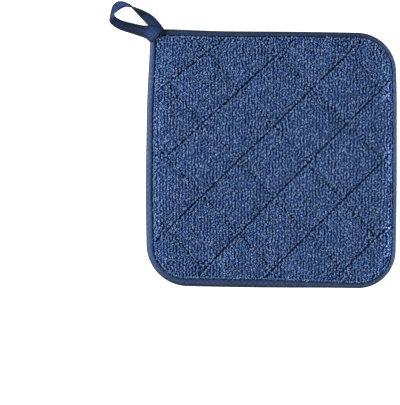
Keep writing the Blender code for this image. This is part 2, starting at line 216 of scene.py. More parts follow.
# Hanging loop, as in the solids: rows across the folded tape, from its first edge to its second, with the
# height of its middle and how much higher the second edge lies
TapeRow = namedtuple("TapeRow", "first_x_mm first_y_mm second_x_mm second_y_mm z_mm rise_mm")
LOOP_ROWS = (
    TapeRow(-78.1, 90.7, -83.2, 82.2, 7.4, 0.0),
    TapeRow(-81.2, 92.2, -86.4, 81.2, 7.4, 0.0),
    TapeRow(-85.5, 93.1, -89.0, 83.4, 7.2, 0.0),
    TapeRow(-89.0, 93.4, -91.4, 84.6, 6.9, 0.0),
    TapeRow(-92.0, 93.5, -94.1, 85.5, 6.5, 0.0),
    TapeRow(-98.7, 94.9, -100.7, 87.6, 5.4, 0.0),
    TapeRow(-106.3, 96.9, -108.7, 90.3, 4.5, 0.0),
    TapeRow(-110.1, 99.0, -113.9, 93.8, 4.0, 1.6),
    TapeRow(-111.4, 100.2, -115.3, 96.5, 3.9, 3.9),
    TapeRow(-112.0, 101.0, -114.9, 98.9, 3.9, 5.7),
    TapeRow(-112.1, 101.7, -114.6, 101.0, 3.9, 6.2),
    TapeRow(-111.4, 102.4, -114.1, 103.3, 3.9, 6.1),
    TapeRow(-109.3, 103.8, -113.1, 107.1, 3.9, 4.5),
    TapeRow(-107.2, 105.2, -110.1, 109.9, 3.9, 3.8),
    TapeRow(-104.8, 106.4, -106.0, 110.0, 3.9, 5.5),
    TapeRow(-102.7, 106.9, -102.7, 108.6, 4.0, 6.5),
    TapeRow(-100.7, 106.7, -100.5, 107.3, 4.1, 6.7),
    TapeRow(-97.9, 106.4, -99.2, 105.5, 4.1, 6.5),
    TapeRow(-94.8, 105.5, -97.1, 103.3, 4.1, 5.9),
    TapeRow(-91.4, 104.3, -94.8, 100.7, 4.3, 4.5),
    TapeRow(-87.1, 102.0, -91.9, 97.1, 4.7, 0.0),
    TapeRow(-83.5, 99.2, -89.3, 94.3, 5.2, 0.0),
    TapeRow(-80.2, 95.5, -86.5, 91.5, 5.7, 0.0),
    TapeRow(-76.8, 91.0, -84.0, 88.2, 6.0, 0.0),
)
LOOP_STEPS = 8
LOOP_CLOTH = 0.24 * MM
LOOP_PLY = 0.27 * MM
LOOP_OUTSIDE = 1.5 * LOOP_PLY
LOOP_RAW_EDGE = 2.2 * LOOP_PLY
LOOP_FOLD_STEPS = 3
LOOP_ARCH = 0.55 * MM
ARCH_MIDDLE = 0.3
LOOP_STITCH_INSET = 0.9 * MM
SEWN_END_ROW = 3 * LOOP_STEPS // 4
SEWN_END_HALF = 0.42

# Painted light and shade on the tapes: the binding from its outer edge to its lip, darker at both with a
# painted highlight between, and all of it painted darker on the top and the bottom; the loop painted darker
# from its middle line to its edges, and paler or darker from row to row, with a painted highlight on its tip,
# which turns to the left light
BINDING_PAINTED_SHADING = ((0.0, 0.3), (0.15, 0.6), (0.35, 1.2), (0.6, 1.3), (0.8, 1.0), (0.9, 0.8), (1.0, 0.5))
TOP_PAINTED_SHADE, BOTTOM_PAINTED_SHADE = 0.38, 0.52
LOOP_EDGE_PAINTED_SHADE = ((0.0, 1.0), (0.6, 0.95), (0.85, 0.55), (1.0, 0.35))
LOOP_ROW_PAINTED_LIGHT = (
    (0.0, 1.0),
    (0.6, 2.6),
    (2.0, 2.4),
    (3.5, 1.0),
    (5.0, 0.65),
    (7.0, 0.9),
    (9.0, 4.0),
    (14.0, 4.0),
    (16.0, 1.6),
    (18.0, 0.7),
    (22.0, 1.3),
)

# Photograph: its scale, its size, the pixel where the origin lies and how far the holder is turned in it
MM_PER_PIXEL = 0.706
PHOTO_WIDTH, PHOTO_HEIGHT = 400, 405
ORIGIN_PIXEL = (272.0, 159.0)
HOLDER_TURN = math.radians(0.45)

# Camera: far off, so that the height of the holder hardly changes its scale
CAMERA_HEIGHT = 2.0
SIGHT = 20.0
SENSOR = 36.0

# Studio: low lights on the left and right, and a faint sky
Softbox = namedtuple("Softbox", "name x y z length height watts")
SOFTBOXES = (
    Softbox("left softbox", -1.05, 0.10, 0.50, 1.0, 0.35, 42.0),
    Softbox("right softbox", 1.05, -0.16, 0.50, 1.0, 0.35, 27.0),
)
SKY = 0.15
WHITE = (1.0, 1.0, 1.0, 1.0)

# Floor: the pale top of a light table, a little under the holder
FLOOR_HALF = 6.0
FLOOR_DROP = 0.1 * MM
FLOOR_GREYS = (0.58, 0.60)
FLOOR_GLOW = 0.8

# Colours, as linear red, green and blue: each from its darkest to its palest
YARN = (
    (0.0, (0.023, 0.059, 0.168)),
    (0.5, (0.053, 0.109, 0.257)),
    (0.85, (0.099, 0.157, 0.295)),
    (1.0, (0.152, 0.214, 0.348)),
)
MOTTLE_DARK, MOTTLE_LIGHT = (0.80, 0.84, 0.83), (1.02, 0.99, 1.0)
GROUND_DARK, GROUND_LIGHT = (0.022, 0.055, 0.155), (0.042, 0.094, 0.250)
BINDING_DARK, BINDING_LIGHT = (0.017, 0.038, 0.093), (0.034, 0.066, 0.147)
# The loop is the binding's tape; its darker colour is painted shade
LOOP_SHADED_DARK, LOOP_SHADED_LIGHT = (0.0045, 0.011, 0.034), (0.010, 0.021, 0.058)
THREAD_DARK, THREAD_LIGHT = (0.007, 0.019, 0.060), (0.017, 0.038, 0.110)
PALE_SHEEN = (0.70, 0.80, 1.0, 1.0)
SHEEN_ROUGHNESS = 0.45

# Noise textures: their cycles in a metre, and the values that are all dark and all pale
NOISE_DARK, NOISE_PALE = 0.3, 0.7
MOTTLE_SCALE = 60.0
FIBRE_SCALE = 2600.0
GROUND_SCALE = 900.0
SLUB_SCALE = 700.0
THREAD_SCALE = 1500.0
FLOOR_SCALE = 3.0

# The tapes' bands: a wave texture turns by 20 radians a unit, and here by one radian in this length
WAVE_RADIANS = 20
BAND_RADIAN = 0.42 * MM
BAND_SHADE = 0.72
BAND_WANDER = 0.8
BIAS = math.radians(45.0)


# ---------------------------------------------------------------- meshes


def mesh_object(name, points, faces, material):
    """A smooth mesh of one material, in the scene."""
    mesh = bpy.data.meshes.new(name)
    mesh.from_pydata(np.asarray(points).tolist(), [], faces)
    mesh.shade_smooth()
    mesh.materials.append(material)
    obj = bpy.data.objects.new(name, mesh)
    bpy.context.scene.collection.objects.link(obj)
    return obj


def set_painted_lighting(obj, painted_lighting):
    """The painted light and shade at each point, for its material."""
    obj.data.attributes.new("shade", "FLOAT", "POINT").data.foreach_set("value", np.ravel(painted_lighting))


def unit(vectors):
    """The vectors' directions, each of length 1."""
    return vectors / np.maximum(np.linalg.norm(vectors, axis=-1, keepdims=True), TINY)


def tube_faces(count, rings, sides):
    """Quads of many like tubes whose points are numbered tube by tube, ring by ring."""
    tube, ring, side = np.meshgrid(np.arange(count), np.arange(rings - 1), np.arange(sides), indexing="ij")
    start = (tube * rings + ring) * sides
    following = (side + 1) % sides
    quads = np.stack((start + side, start + following, start + sides + following, start + sides + side), -1)
    return quads.reshape(-1, 4).tolist()


def tube_points(centres, radii, sides, up):
    """Points of many tubes. centres is (tubes, rings, 3), radii (tubes, rings) and up (tubes, 3)."""
    along = unit(np.gradient(centres, axis=1))
    beside = unit(np.cross(along, up[:, None, :]))
    above = np.cross(beside, along)
    turns = (np.arange(sides) / sides * 2 * math.pi + math.pi / 2)[:, None]
    spokes = np.cos(turns) * beside[:, :, None, :] + np.sin(turns) * above[:, :, None, :]
    return centres[:, :, None, :] + radii[:, :, None, None] * spokes


def end_faces(count, rings, sides):
    """The two end faces of each of many tubes."""
    first = np.arange(count)[:, None] * rings * sides + np.arange(sides)[::-1]
    last = first + (rings - 1) * sides
    return np.concatenate((first, last[:, ::-1])).tolist()


def join(name, pieces, material):
    """One object of several lots of (points, faces)."""
    points, faces = [], []
    for piece_points, piece_faces in pieces:
        start = len(points)
        points += piece_points.tolist()
        faces += [[start + k for k in face] for face in piece_faces]
    return mesh_object(name, points, faces, material)


# ---------------------------------------------------------------- plan


def bowed(x, y):
    """Where a point of the true plan lies in the sewn one, with its bowed sides and pulled corners."""
    across, along = x / (WIDTH / 2), y / (HEIGHT / 2)
    bow_x = np.where(across < 0, BOW_LEFT, BOW_RIGHT) * (1 - along**2)
    bow_y = np.where(along < 0, BOW_BOTTOM, BOW_TOP) * (1 - across**2)
    shift_x = across * (bow_x + WAVER * np.sin(UPRIGHT_WAVE.turn * along + UPRIGHT_WAVE.start))
    shift_y = along * (bow_y + WAVER * np.sin(LEVEL_WAVE.turn * across + LEVEL_WAVE.start))
    for corner in CORNERS:
        distance = np.hypot(x - corner.side_x * WIDTH / 2, y - corner.side_y * HEIGHT / 2)
        share = np.exp(-((distance / PULL_REACH) ** 3))
        shift_x = shift_x + share * corner.pull_x_mm * MM
        shift_y = shift_y + share * corner.pull_y_mm * MM
    return x + shift_x, y + shift_y


def outline(spacing):
    """Points round the holder's outer edge, anticlockwise, with their outward directions. It starts and
    ends in the middle of the upper left corner."""
    arcs = []
    for corner in CORNERS:
        radius = corner.radius_mm * MM
        centre = np.array((corner.side_x * (WIDTH / 2 - radius), corner.side_y * (HEIGHT / 2 - radius)))
        middle = math.atan2(corner.side_y, corner.side_x)
        arcs.append((centre, radius, middle - math.pi / 4, middle + math.pi / 4))
    centre, radius, start, end = arcs.pop()
    halfway = (start + end) / 2
    stretches = [(centre, radius, halfway, end), *arcs, (centre, radius, start, halfway)]
    points, outward = [], []
    for centre, radius, start, end in stretches:
        if points:
            there = centre + radius * np.array((math.cos(start), math.sin(start)))
            here = points[-1]
            count = max(1, round(np.linalg.norm(there - here) / spacing))
            points += [here + (there - here) * step / count for step in range(1, count)]
            outward += [outward[-1]] * (count - 1)
        steps = max(2, math.ceil((end - start) / ARC_STEP))
        for angle in start + (end - start) * np.arange(steps + 1) / steps:
            direction = np.array((math.cos(angle), math.sin(angle)))
            points.append(centre + radius * direction)
            outward.append(direction)
    return np.array(points), np.array(outward)


def distances_along(path):
    """How far along the path each of its points is."""
    steps = np.linalg.norm(np.diff(path, axis=0), axis=1)
    return np.concatenate(((0.0,), np.cumsum(steps)))


def evenly_spaced(path, pitch):
    """Points at this pitch along a path, with the path's direction at each."""
    distances = distances_along(path)
    places = np.arange(pitch / 2, distances[-1], pitch)
    points = np.stack([np.interp(places, distances, values) for values in path.T], -1)
    ahead = np.stack([np.interp(places + pitch / 10, distances, values) for values in path.T], -1)
    return points, unit(ahead - points)


def line_normal(line, rises):
    """The direction in the plan in which a quilting line's distance from the origin is measured."""
    side = 1 if rises else -1
    slope = math.radians(side * 45.0 + line.turn_deg)
    return np.array((side * math.sin(slope), -side * math.cos(slope)))


# Each seam, and how near to it the loops may stand
Seam = namedtuple("Seam", "normal offset clear")
SEAMS = [Seam(line_normal(line, True), line.offset_mm * MM, RISING_CLEAR) for line in RISING_LINES]
SEAMS += [Seam(line_normal(line, False), line.offset_mm * MM, FALLING_CLEAR) for line in FALLING_LINES]


def pushed_aside(places):
    """Places in the true plan, with those that a seam would catch moved to its two sides."""
    for seam in SEAMS:
        away = places @ seam.normal - seam.offset
        push = np.where(np.abs(away) < seam.clear, np.copysign(seam.clear, away) - away, 0.0)
        places = places + push[:, None] * seam.normal
    return places


# ---------------------------------------------------------------- materials


def new_material(name, roughness, specular, sheen=0.0):
    """A material with its node tree and its shader."""
    material = bpy.data.materials.new(name)
    material.use_nodes = True
    tree = material.node_tree
    shader = tree.nodes["Principled BSDF"]
    shader.inputs["Roughness"].default_value = roughness
    shader.inputs["Specular IOR Level"].default_value = specular
    shader.inputs["Sheen Weight"].default_value = sheen
    shader.inputs["Sheen Roughness"].default_value = SHEEN_ROUGHNESS
    shader.inputs["Sheen Tint"].default_value = PALE_SHEEN
    return material, tree, shader


def ramp_node(tree, source, stops):
    """A colour by this value, between stops of (place, colour)."""
    ramp = tree.nodes.new("ShaderNodeValToRGB")
    elements = ramp.color_ramp.elements
    while len(elements) < len(stops):
        elements.new(0.5)
    for element, (place, colour) in zip(elements, stops):
        element.position = place
        element.color = (*colour, 1.0)
    tree.links.new(source, ramp.inputs["Fac"])
    return ramp.outputs["Color"]


def noise_node(tree, scale, detail=2.0):
    """Noise in the object's own space, from 0 to 1."""
    place = tree.nodes.new("ShaderNodeTexCoord")
    texture = tree.nodes.new("ShaderNodeTexNoise")
    texture.inputs["Scale"].default_value = scale
    texture.inputs["Detail"].default_value = detail
    tree.links.new(place.outputs["Object"], texture.inputs["Vector"])
    return texture.outputs["Fac"]


def noise_colour(tree, texture, dark, light):
    """A colour that goes from dark to light with the noise."""
    return ramp_node(tree, texture, ((NOISE_DARK, dark), (NOISE_PALE, light)))


def multiply_node(tree, first, second):
    """Two colours multiplied."""
    mix = tree.nodes.new("ShaderNodeMix")
    mix.data_type = "RGBA"
    mix.blend_type = "MULTIPLY"
    mix.inputs["Factor"].default_value = 1.0
    tree.links.new(first, mix.inputs["A"])
    tree.links.new(second, mix.inputs["B"])
    return mix.outputs["Result"]


def shaded(tree, colour):
    """The colour, times the painted light and shade stored at each point."""
    shade = tree.nodes.new("ShaderNodeAttribute")
    shade.attribute_name = "shade"
    return multiply_node(tree, colour, shade.outputs["Color"])


def bump_node(tree, shader, height, strength, distance):
    """Fine relief on the shader's surface."""
    bump = tree.nodes.new("ShaderNodeBump")
    bump.inputs["Strength"].default_value = strength
    bump.inputs["Distance"].default_value = distance
    tree.links.new(height, bump.inputs["Height"])
    tree.links.new(bump.outputs["Normal"], shader.inputs["Normal"])


def terry_material():
    """Cotton yarn: each loop has its own depth of dye, the whole cloth is a little mottled, and painted light
    lies by the binding.
    """
    material, tree, shader = new_material("terry_yarn", roughness=0.75, specular=0.12, sheen=0.08)
    loop = tree.nodes.new("ShaderNodeNewGeometry").outputs["Random Per Island"]
    yarn = ramp_node(tree, loop, YARN)
    mottled = noise_colour(tree, noise_node(tree, MOTTLE_SCALE), MOTTLE_DARK, MOTTLE_LIGHT)
    tree.links.new(shaded(tree, multiply_node(tree, yarn, mottled)), shader.inputs["Base Color"])
    fibres = noise_node(tree, FIBRE_SCALE, detail=3.0)
    bump_node(tree, shader, fibres, strength=0.6, distance=0.1 * MM)
    return material


def ground_material():
    """The rough cloth between and under the loops."""
    material, tree, shader = new_material("terry_ground", roughness=0.95, specular=0.1)
    weave = noise_node(tree, GROUND_SCALE, detail=3.0)
    tree.links.new(noise_colour(tree, weave, GROUND_DARK, GROUND_LIGHT), shader.inputs["Base Color"])
    bump_node(tree, shader, weave, strength=1.0, distance=1.0 * MM)
    return material


def woven_material(name, specular, dark, light):
    """Cotton tape: faint bands each way on the bias, slubs, and the painted light and shade stored at each
    point.
    """
    material, tree, shader = new_material(name, roughness=0.62, specular=specular)
    place = tree.nodes.new("ShaderNodeTexCoord")
    turn = tree.nodes.new("ShaderNodeMapping")
    turn.inputs["Rotation"].default_value = (0.0, 0.0, BIAS)
    tree.links.new(place.outputs["Object"], turn.inputs["Vector"])
    weave = tree.nodes.new("ShaderNodeMath")
    weave.operation = "MULTIPLY"
    for direction, crossing in zip(("X", "Y"), weave.inputs):
        wave = tree.nodes.new("ShaderNodeTexWave")
        wave.bands_direction = direction
        wave.inputs["Scale"].default_value = 1 / BAND_RADIAN / WAVE_RADIANS
        wave.inputs["Distortion"].default_value = BAND_WANDER
        tree.links.new(turn.outputs["Vector"], wave.inputs["Vector"])
        tree.links.new(wave.outputs["Fac"], crossing)
    slub = noise_colour(tree, noise_node(tree, SLUB_SCALE, detail=3.0), dark, light)
    shade = ramp_node(tree, weave.outputs["Value"], ((0.0, (BAND_SHADE,) * 3), (0.5, (1.0,) * 3)))
    tree.links.new(shaded(tree, multiply_node(tree, slub, shade)), shader.inputs["Base Color"])
    bump_node(tree, shader, weave.outputs["Value"], strength=0.5, distance=0.1 * MM)
    return material


def thread_material():
    """Dark sewing thread."""
    material, tree, shader = new_material("thread", roughness=0.6, specular=0.15)
    colour = noise_colour(tree, noise_node(tree, THREAD_SCALE), THREAD_DARK, THREAD_LIGHT)
    tree.links.new(colour, shader.inputs["Base Color"])
    return material


def floor_material():
    """The pale top of a light table."""
    material, tree, shader = new_material("floor", roughness=0.9, specular=0.2)
    dark, light = FLOOR_GREYS
    colour = noise_colour(tree, noise_node(tree, FLOOR_SCALE), (dark,) * 3, (light,) * 3)
    tree.links.new(colour, shader.inputs["Base Color"])
    tree.links.new(colour, shader.inputs["Emission Color"])
    shader.inputs["Emission Strength"].default_value = FLOOR_GLOW / light
    return material


# ---------------------------------------------------------------- terry


def tree_of(obj):
    """A search tree of the object's faces."""
    obj.data.calc_loop_triangles()
    points = [vert.co for vert in obj.data.vertices]
    return BVHTree.FromPolygons(points, [triangle.vertices for triangle in obj.data.loop_triangles])


def look_down(tree, x, y, up):
    """Where a line that falls on one face of the holder meets it: (point, normal), or (None, None)."""
    return tree.ray_cast(Vector((x, y, up * ABOVE_ALL)), Vector((0, 0, -up)))[:2]


def covered(hit, up, trees):
    """Whether one of these pieces lies over this point of another."""
    points = [look_down(tree, hit.x, hit.y, up)[0] for tree in trees]
    return any(point is not None and (point.z - hit.z) * up > 0 for point in points)


def core_height(z, front):
    """The height of the core under a pile whose tips are at z."""
    if front:
        return z - np.clip(z - CORE_FRONT, SHORTEST_PILE, LONGEST_PILE)
    return z + np.clip(CORE_BACK - z, SHORTEST_PILE, LONGEST_PILE)


def ground_cloth(material):
    """The two ground cloths and the wadding between them: the solid, taken in by the height of the pile."""
    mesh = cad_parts["quilted_pad"].data
    mesh.calc_loop_triangles()
    corners = np.array([vert.co for vert in mesh.vertices])
    places, index = np.unique(np.round(corners / WELD), axis=0, return_inverse=True)
    faces = index.reshape(-1)[np.array([triangle.vertices for triangle in mesh.loop_triangles])]
    ground = mesh_object("terry_ground", places * WELD, faces.tolist(), material)
    split = ground.modifiers.new("finer", "SUBSURF")
    split.subdivision_type = "SIMPLE"
    split.levels = split.render_levels = 1
    bpy.context.view_layer.objects.active = ground
    bpy.ops.object.modifier_apply(modifier=split.name)
    middle = (CORE_FRONT + CORE_BACK) / 2
    numbers = np.empty(len(ground.data.vertices) * 3)
    ground.data.vertices.foreach_get("co", numbers)
    points = numbers.reshape(-1, 3)
    front, back = core_height(points[:, 2], True), core_height(points[:, 2], False)
    points[:, 2] = np.where(points[:, 2] > middle, np.maximum(front, middle), np.minimum(back, middle))
    ground.data.vertices.foreach_set("co", points.ravel())
    ground.data.update()
    return ground


def cloud(x, y, size, seed):
    """Smooth noise from about -1 to 1, with features of this size."""
    return np.array([noise.noise(Vector((a / size, b / size, seed))) for a, b in zip(x, y)]) * NOISE_GAIN


def field_places(pile, random):
    """Upright columns of loops that wander a little, all over the true plan."""
    columns = np.arange(FIRST_COLUMN, WIDTH / 2, pile.across)
    rows = np.arange(-HEIGHT / 2, HEIGHT / 2, pile.along)
    column, row = (grid.ravel() for grid in np.meshgrid(np.arange(len(columns)), np.arange(len(rows))))
    x = columns[column] + pile.stagger * (2 * (row % 2) - 1)
    y = rows[row] + pile.along * random.uniform(0, 1, len(columns))[column]
    loose = np.interp(x, (STRAIGHT_TO, WANDERS_FROM), (LEAST_WANDER, 1.0))
    wander = WANDER * cloud(x, y, WANDER_SIZE, pile.seed) + random.normal(0, UNEVEN_ACROSS, len(x))
    return np.stack((x + loose * wander, y + random.normal(0, UNEVEN_ALONG, len(y))), -1)


def pile_places(pile, random):
    """Where each loop stands in the plan, and whether it is in the row along the binding."""
    field = pushed_aside(field_places(pile, random))
    edge = evenly_spaced(lip_line(pile.front, EDGE_ROWS_MM), pile.along)[0]
    places = np.concatenate((np.stack(bowed(*field.T), -1), edge))
    return places, np.arange(len(places)) >= len(field)


def tip_height(hit, up, tape_tree, loop_tree):
    """How high the loops stand over this point of the solid: they close over the channels from both sides,
    round off towards the binding and swell up beside the hanging loop."""
    if up < 0:
        return hit.z
    from_tape = tape_tree.find_nearest(hit, SWELL_REACH)[3] or SWELL_REACH
    lowest = min(LOWEST_TIP, EDGE_TIP + from_tape * TIP_SLOPE)
    loop_point, _, _, from_loop = loop_tree.find_nearest(hit, SWELL_REACH)
    swell = loop_point.z + SWELL_RISE - from_loop * TIP_SLOPE if loop_point else 0.0
    return max(hit.z, lowest, swell)


def painted_rim_light(hit, tape_tree):
    """The painted light on the loops here: a painted highlight where the pile rolls down to the binding on
    the left and right and their sides would turn to the light."""
    point, _, _, distance = tape_tree.find_nearest(hit, RIM_LIGHT_REACH)
    if point is None:
        return 1.0
    sideways = abs(point.x - hit.x) / max(distance, NEAR)
    palest = RIM_LIGHT_LEFT if point.x < hit.x else RIM_LIGHT_RIGHT
    return 1.0 + palest * sideways**3 * (1 - distance / RIM_LIGHT_REACH)


def loop_stands(pile, places, at_edge, trees):
    """The loops that stand on one face: each one's foot, its tip's height, the way its cloth faces and the
    painted light on it."""
    pad_tree, tape_tree, loop_tree = trees
    up = 1.0 if pile.front else -1.0
    feet, tips, normals, painted_lighting = [], [], [], []
    for (x, y), in_edge_row in zip(places, at_edge):
        hit, normal = look_down(pad_tree, x, y, up)
        if hit is None or covered(hit, up, (tape_tree, loop_tree)):
            continue
        if not in_edge_row and tape_tree.find_nearest(hit, BINDING_CLEAR)[0] is not None:
            continue
        tip = Vector((x, y, tip_height(hit, up, tape_tree, loop_tree)))
        if loop_tree.find_nearest(tip, LOOP_CLEAR)[0] is not None:
            continue
        feet.append((x, y, core_height(hit.z, pile.front)))
        tips.append(tip.z)
        normals.append(UP * up if in_edge_row else normal * math.copysign(1.0, normal.z * up))
        # Painted light: the pile painted paler beside the binding on the left and right
        painted_lighting.append(1.0 if in_edge_row else painted_rim_light(hit, tape_tree))
    return [np.array(values) for values in (feet, tips, normals, painted_lighting)]


def loop_tubes(pile, feet, tips, normals, random):
    """The points of all the loops, each a tube of yarn that rises from the cloth and comes back to it."""
    up = 1.0 if pile.front else -1.0
    count = len(feet)
    height = np.maximum(np.abs(tips - feet[:, 2]), SHORTEST_LOOP)
    rise = height * random.uniform(*LENGTHS, count) - pile.yarn * YARN_SHARE
    lean = random.normal(0, LEAN_SPREAD, (count, 3)) * (1, 1, 0)
    stand = unit(OUT_OF_THE_CLOTH * normals + (0, 0, UPRIGHT * up) + lean)
    yaw = random.normal(0, YAW_SPREAD, count)
    run = np.stack((np.sin(yaw), np.cos(yaw), np.zeros(count)), -1)
    beside = unit(np.cross(run, stand))
    run = np.cross(stand, beside)
    span = random.uniform(*SPANS_MM, count) * MM
    share = np.linspace(-1, 1, pile.points)[None, :]
    turn = math.pi / 2 * (1 + share * (EVENNESS + (1 - EVENNESS) * share**2))
    forward = span[:, None] * np.cos(turn) * (FOOT_OPENING + MORE_OPENING * np.sin(turn))
    upward = (rise[:, None] + FOOT_DEPTH) * np.sin(turn) ** ROUNDNESS - FOOT_DEPTH
    swing = random.normal(0, SWAY_SPREAD, count)[:, None]
    sway = swing * np.sin(2 * turn + random.uniform(*SWAY_STARTS, (count, 1)))
    centres = (
        feet[:, None, :]
        + forward[..., None] * run[:, None, :]
        + upward[..., None] * stand[:, None, :]
        + sway[..., None] * beside[:, None, :]
    )
    radii = pile.yarn * random.uniform(*YARN_RANGE, (count, 1)) * (FOOT_YARN + MORE_YARN * np.sin(turn))
    points = tube_points(centres, radii, pile.sides, beside)
    if not pile.front:
        points[..., 2] = np.maximum(points[..., 2], LOWEST_YARN)
    return points


def terry(pile, trees, material):
    """The loops on one face of the ground cloth, as high as the solid's surface, in bands from the lower
    edge to the upper."""
    random = np.random.RandomState(pile.seed)
    feet, tips, normals, painted_lighting = loop_stands(pile, *pile_places(pile, random), trees)
    points = loop_tubes(pile, feet, tips, normals, random)
    order = np.argsort(feet[:, 1], kind="stable")
    for band, members in enumerate(np.array_split(order, pile.bands), 1):
        faces = tube_faces(len(members), pile.points, pile.sides)
        piece = mesh_object(f"{pile.name}_{band}", points[members].reshape(-1, 3), faces, material)
        set_painted_lighting(piece, np.repeat(painted_lighting[members], pile.points * pile.sides))
        yield piece


# ---------------------------------------------------------------- stitching


def stitches(thread, middles, directions, ups):
    """Short rounded lengths of thread, each sinking into the cloth at its two ends: (points, faces)."""
    middles, directions, ups = (np.array(values, float) for values in (middles, directions, ups))
    share = np.linspace(-1, 1, STITCH_RINGS)[None, :]
    centres = (
        middles[:, None, :]
        + directions[:, None, :] * (share * thread.length / 2)[..., None]
        - ups[:, None, :] * (thread.radius * STITCH_SINK * share**4)[..., None]
    )
    radii = np.broadcast_to(thread.radius * (1 - STITCH_TAPER * share**4), (len(middles), STITCH_RINGS))
    points = tube_points(centres, radii, STITCH_SIDES, ups).reshape(-1, 3)
    size = (len(middles), STITCH_RINGS, STITCH_SIDES)
    return points, tube_faces(*size) + end_faces(*size)


def quilting(front, trees):
    """Thread along every quilting line, on one face of the pad."""
    pad_tree, *trim_trees = trees
    up = 1.0 if front else -1.0
    middles, directions = [], []
    reach = math.hypot(WIDTH, HEIGHT) / 2
    for seam in SEAMS:
        along = np.array((-seam.normal[1], seam.normal[0]))
        for step in np.arange(-reach, reach, QUILTING.pitch):
            x, y = seam.normal * seam.offset + along * step
            if abs(x) > WIDTH / 2 or abs(y) > HEIGHT / 2:
                continue
            x, y = bowed(x, y)
            hit = look_down(pad_tree, x, y, up)[0]
            if hit is None or covered(hit, up, trim_trees):
                continue
            if any(tree.find_nearest(hit, QUILTING.length / 2)[0] for tree in trim_trees):
                continue
            middles.append((x, y, hit.z))
            directions.append((*along, 0.0))
    return stitches(QUILTING, middles, directions, [(0, 0, up)] * len(middles))


# ---------------------------------------------------------------- tape


def thicken(line, thickness):
    """A closed outline round an open line in the section's plane."""
    along = unit(np.gradient(line, axis=0))
    side = np.stack((-along[:, 1], along[:, 0]), -1) * thickness / 2
    return np.concatenate((line + side, (line - side)[::-1]))


def arc(centre, radius, start, end, steps):
    """Points on an arc, between two angles in degrees."""
    angles = np.radians(np.linspace(start, end, steps + 1))
    return [(centre[0] + radius * math.cos(a), centre[1] + radius * math.sin(a)) for a in angles]


def folded_half(lip, fullness):
    """Half of the double-fold tape over the rim: (distance inside the outer edge, height above the rim's
    middle). It is a full bead, and its raw edge is turned in under the lip and reaches down the rim."""
    wall = CLOTH / 2 + EDGE_GAP
    low = SLOT_HALF + CLOTH / 2
    half = BEAD_HALF + BEAD_SWELL * fullness
    lip_angle = math.asin((low + PLY) / half)
    middle = lip / 2
    fold_middle = lip - PLY / 2 - CLOTH / 2
    inner = (fold_middle - middle) / math.cos(lip_angle)

    def bead(start, end, count, depth):
        points = []
        for angle in np.radians(start) + np.radians(end - start) * np.arange(count) / (count - 1):
            reach = inner if math.cos(angle) > 0 else middle - wall
            points.append((middle + (reach - depth) * math.cos(angle), (half - depth) * math.sin(angle)))
        return points

    return [
        (wall + PLY, RAW_EDGE),
        *bead(*TURNED_IN_DEG, TURNED_IN_POINTS, PLY),
        *arc((fold_middle, low + PLY / 2), PLY / 2, -90, 90, FOLD_STEPS),
        *bead(math.degrees(lip_angle) + PAST_LIP_DEG, OUTSIDE_END_DEG, OUTSIDE_POINTS, 0.0),
    ]


def binding_section(lip, back_lip, fullness):
    """The whole tape round the rim, as a closed outline."""
    upper = folded_half(lip, fullness)
    lower = [(x, -z) for x, z in reversed(folded_half(back_lip, fullness))]
    return thicken(np.array(upper + lower), CLOTH)


def loop_section(width):
    """The same tape, folded shut: four plies, with the two turned-in ones inside."""
    half = width / 2 - LOOP_CLOTH / 2
    upper = [
        (-half + LOOP_RAW_EDGE, LOOP_PLY / 2),
        (0.0, LOOP_PLY / 2),
        *arc((half - LOOP_PLY, LOOP_PLY), LOOP_PLY / 2, -90, 90, LOOP_FOLD_STEPS),
        (0.0, LOOP_OUTSIDE),
        *arc((-half + LOOP_OUTSIDE, 0.0), LOOP_OUTSIDE, 90, 180, LOOP_FOLD_STEPS),
    ]
    lower = [(x, -z) for x, z in reversed(upper[:-1])]
    return thicken(np.array(upper + lower), LOOP_CLOTH)


def sweep(name, sections, painted_lighting, material):
    """Skins sections of equal numbers of points, (sections, points, 3), and closes both ends."""
    rings, sides, _ = sections.shape
    faces = tube_faces(1, rings, sides)
    for ring in (0, rings - 1):
        start = ring * sides
        for k in range(sides // 2 - 1):
            faces.append([start + k, start + k + 1, start + sides - 2 - k, start + sides - 1 - k])
    obj = mesh_object(name, sections.reshape(-1, 3), faces, material)
    bm = bmesh.new()
    bm.from_mesh(obj.data)
    bmesh.ops.recalc_face_normals(bm, faces=bm.faces)
    bm.to_mesh(obj.data)
    bm.free()
    set_painted_lighting(obj, painted_lighting)
    return obj


def lip_inset(point):
    """How wide the binding shows beside this point of its outer edge."""
    bearing = math.degrees(math.atan2(point[1], point[0]))
    return np.interp(bearing, LIP_BEARINGS_DEG, LIP_WIDTHS_MM, period=360) * MM


def smooth_noise(distances, kind):
    """Smooth noise at these distances along the tape."""
    return np.array([noise.noise(Vector((distance / kind.size, 0.0, kind.seed))) for distance in distances])


def tape_course():
    """The binding's outer edge in the true plan, its outward directions, the widths of its front and back
    lips, and how full it is."""
    path, outward = outline(BINDING_STEP)
    distances = distances_along(path)
    ripple = smooth_noise(distances, RIPPLE)
    uneven = (RIPPLE.depth_mm * ripple + DRIFT.depth_mm * smooth_noise(distances, DRIFT)) * MM
    front = np.array([lip_inset(point) for point in path]) + uneven
    return path, outward, front, BACK_LIP - uneven, ripple


def lip_line(front, beyond_mm):
    """A line in the plan beyond the binding's front or back lip, with its distances from it on the left, on
    the level sides and on the right."""
    path, outward, front_lips, back_lips, _ = tape_course()
    inset = (front_lips if front else back_lips) + np.interp(outward[:, 0], (-1, 0, 1), beyond_mm) * MM
    return np.stack(bowed(*(path - inset[:, None] * outward).T), -1)


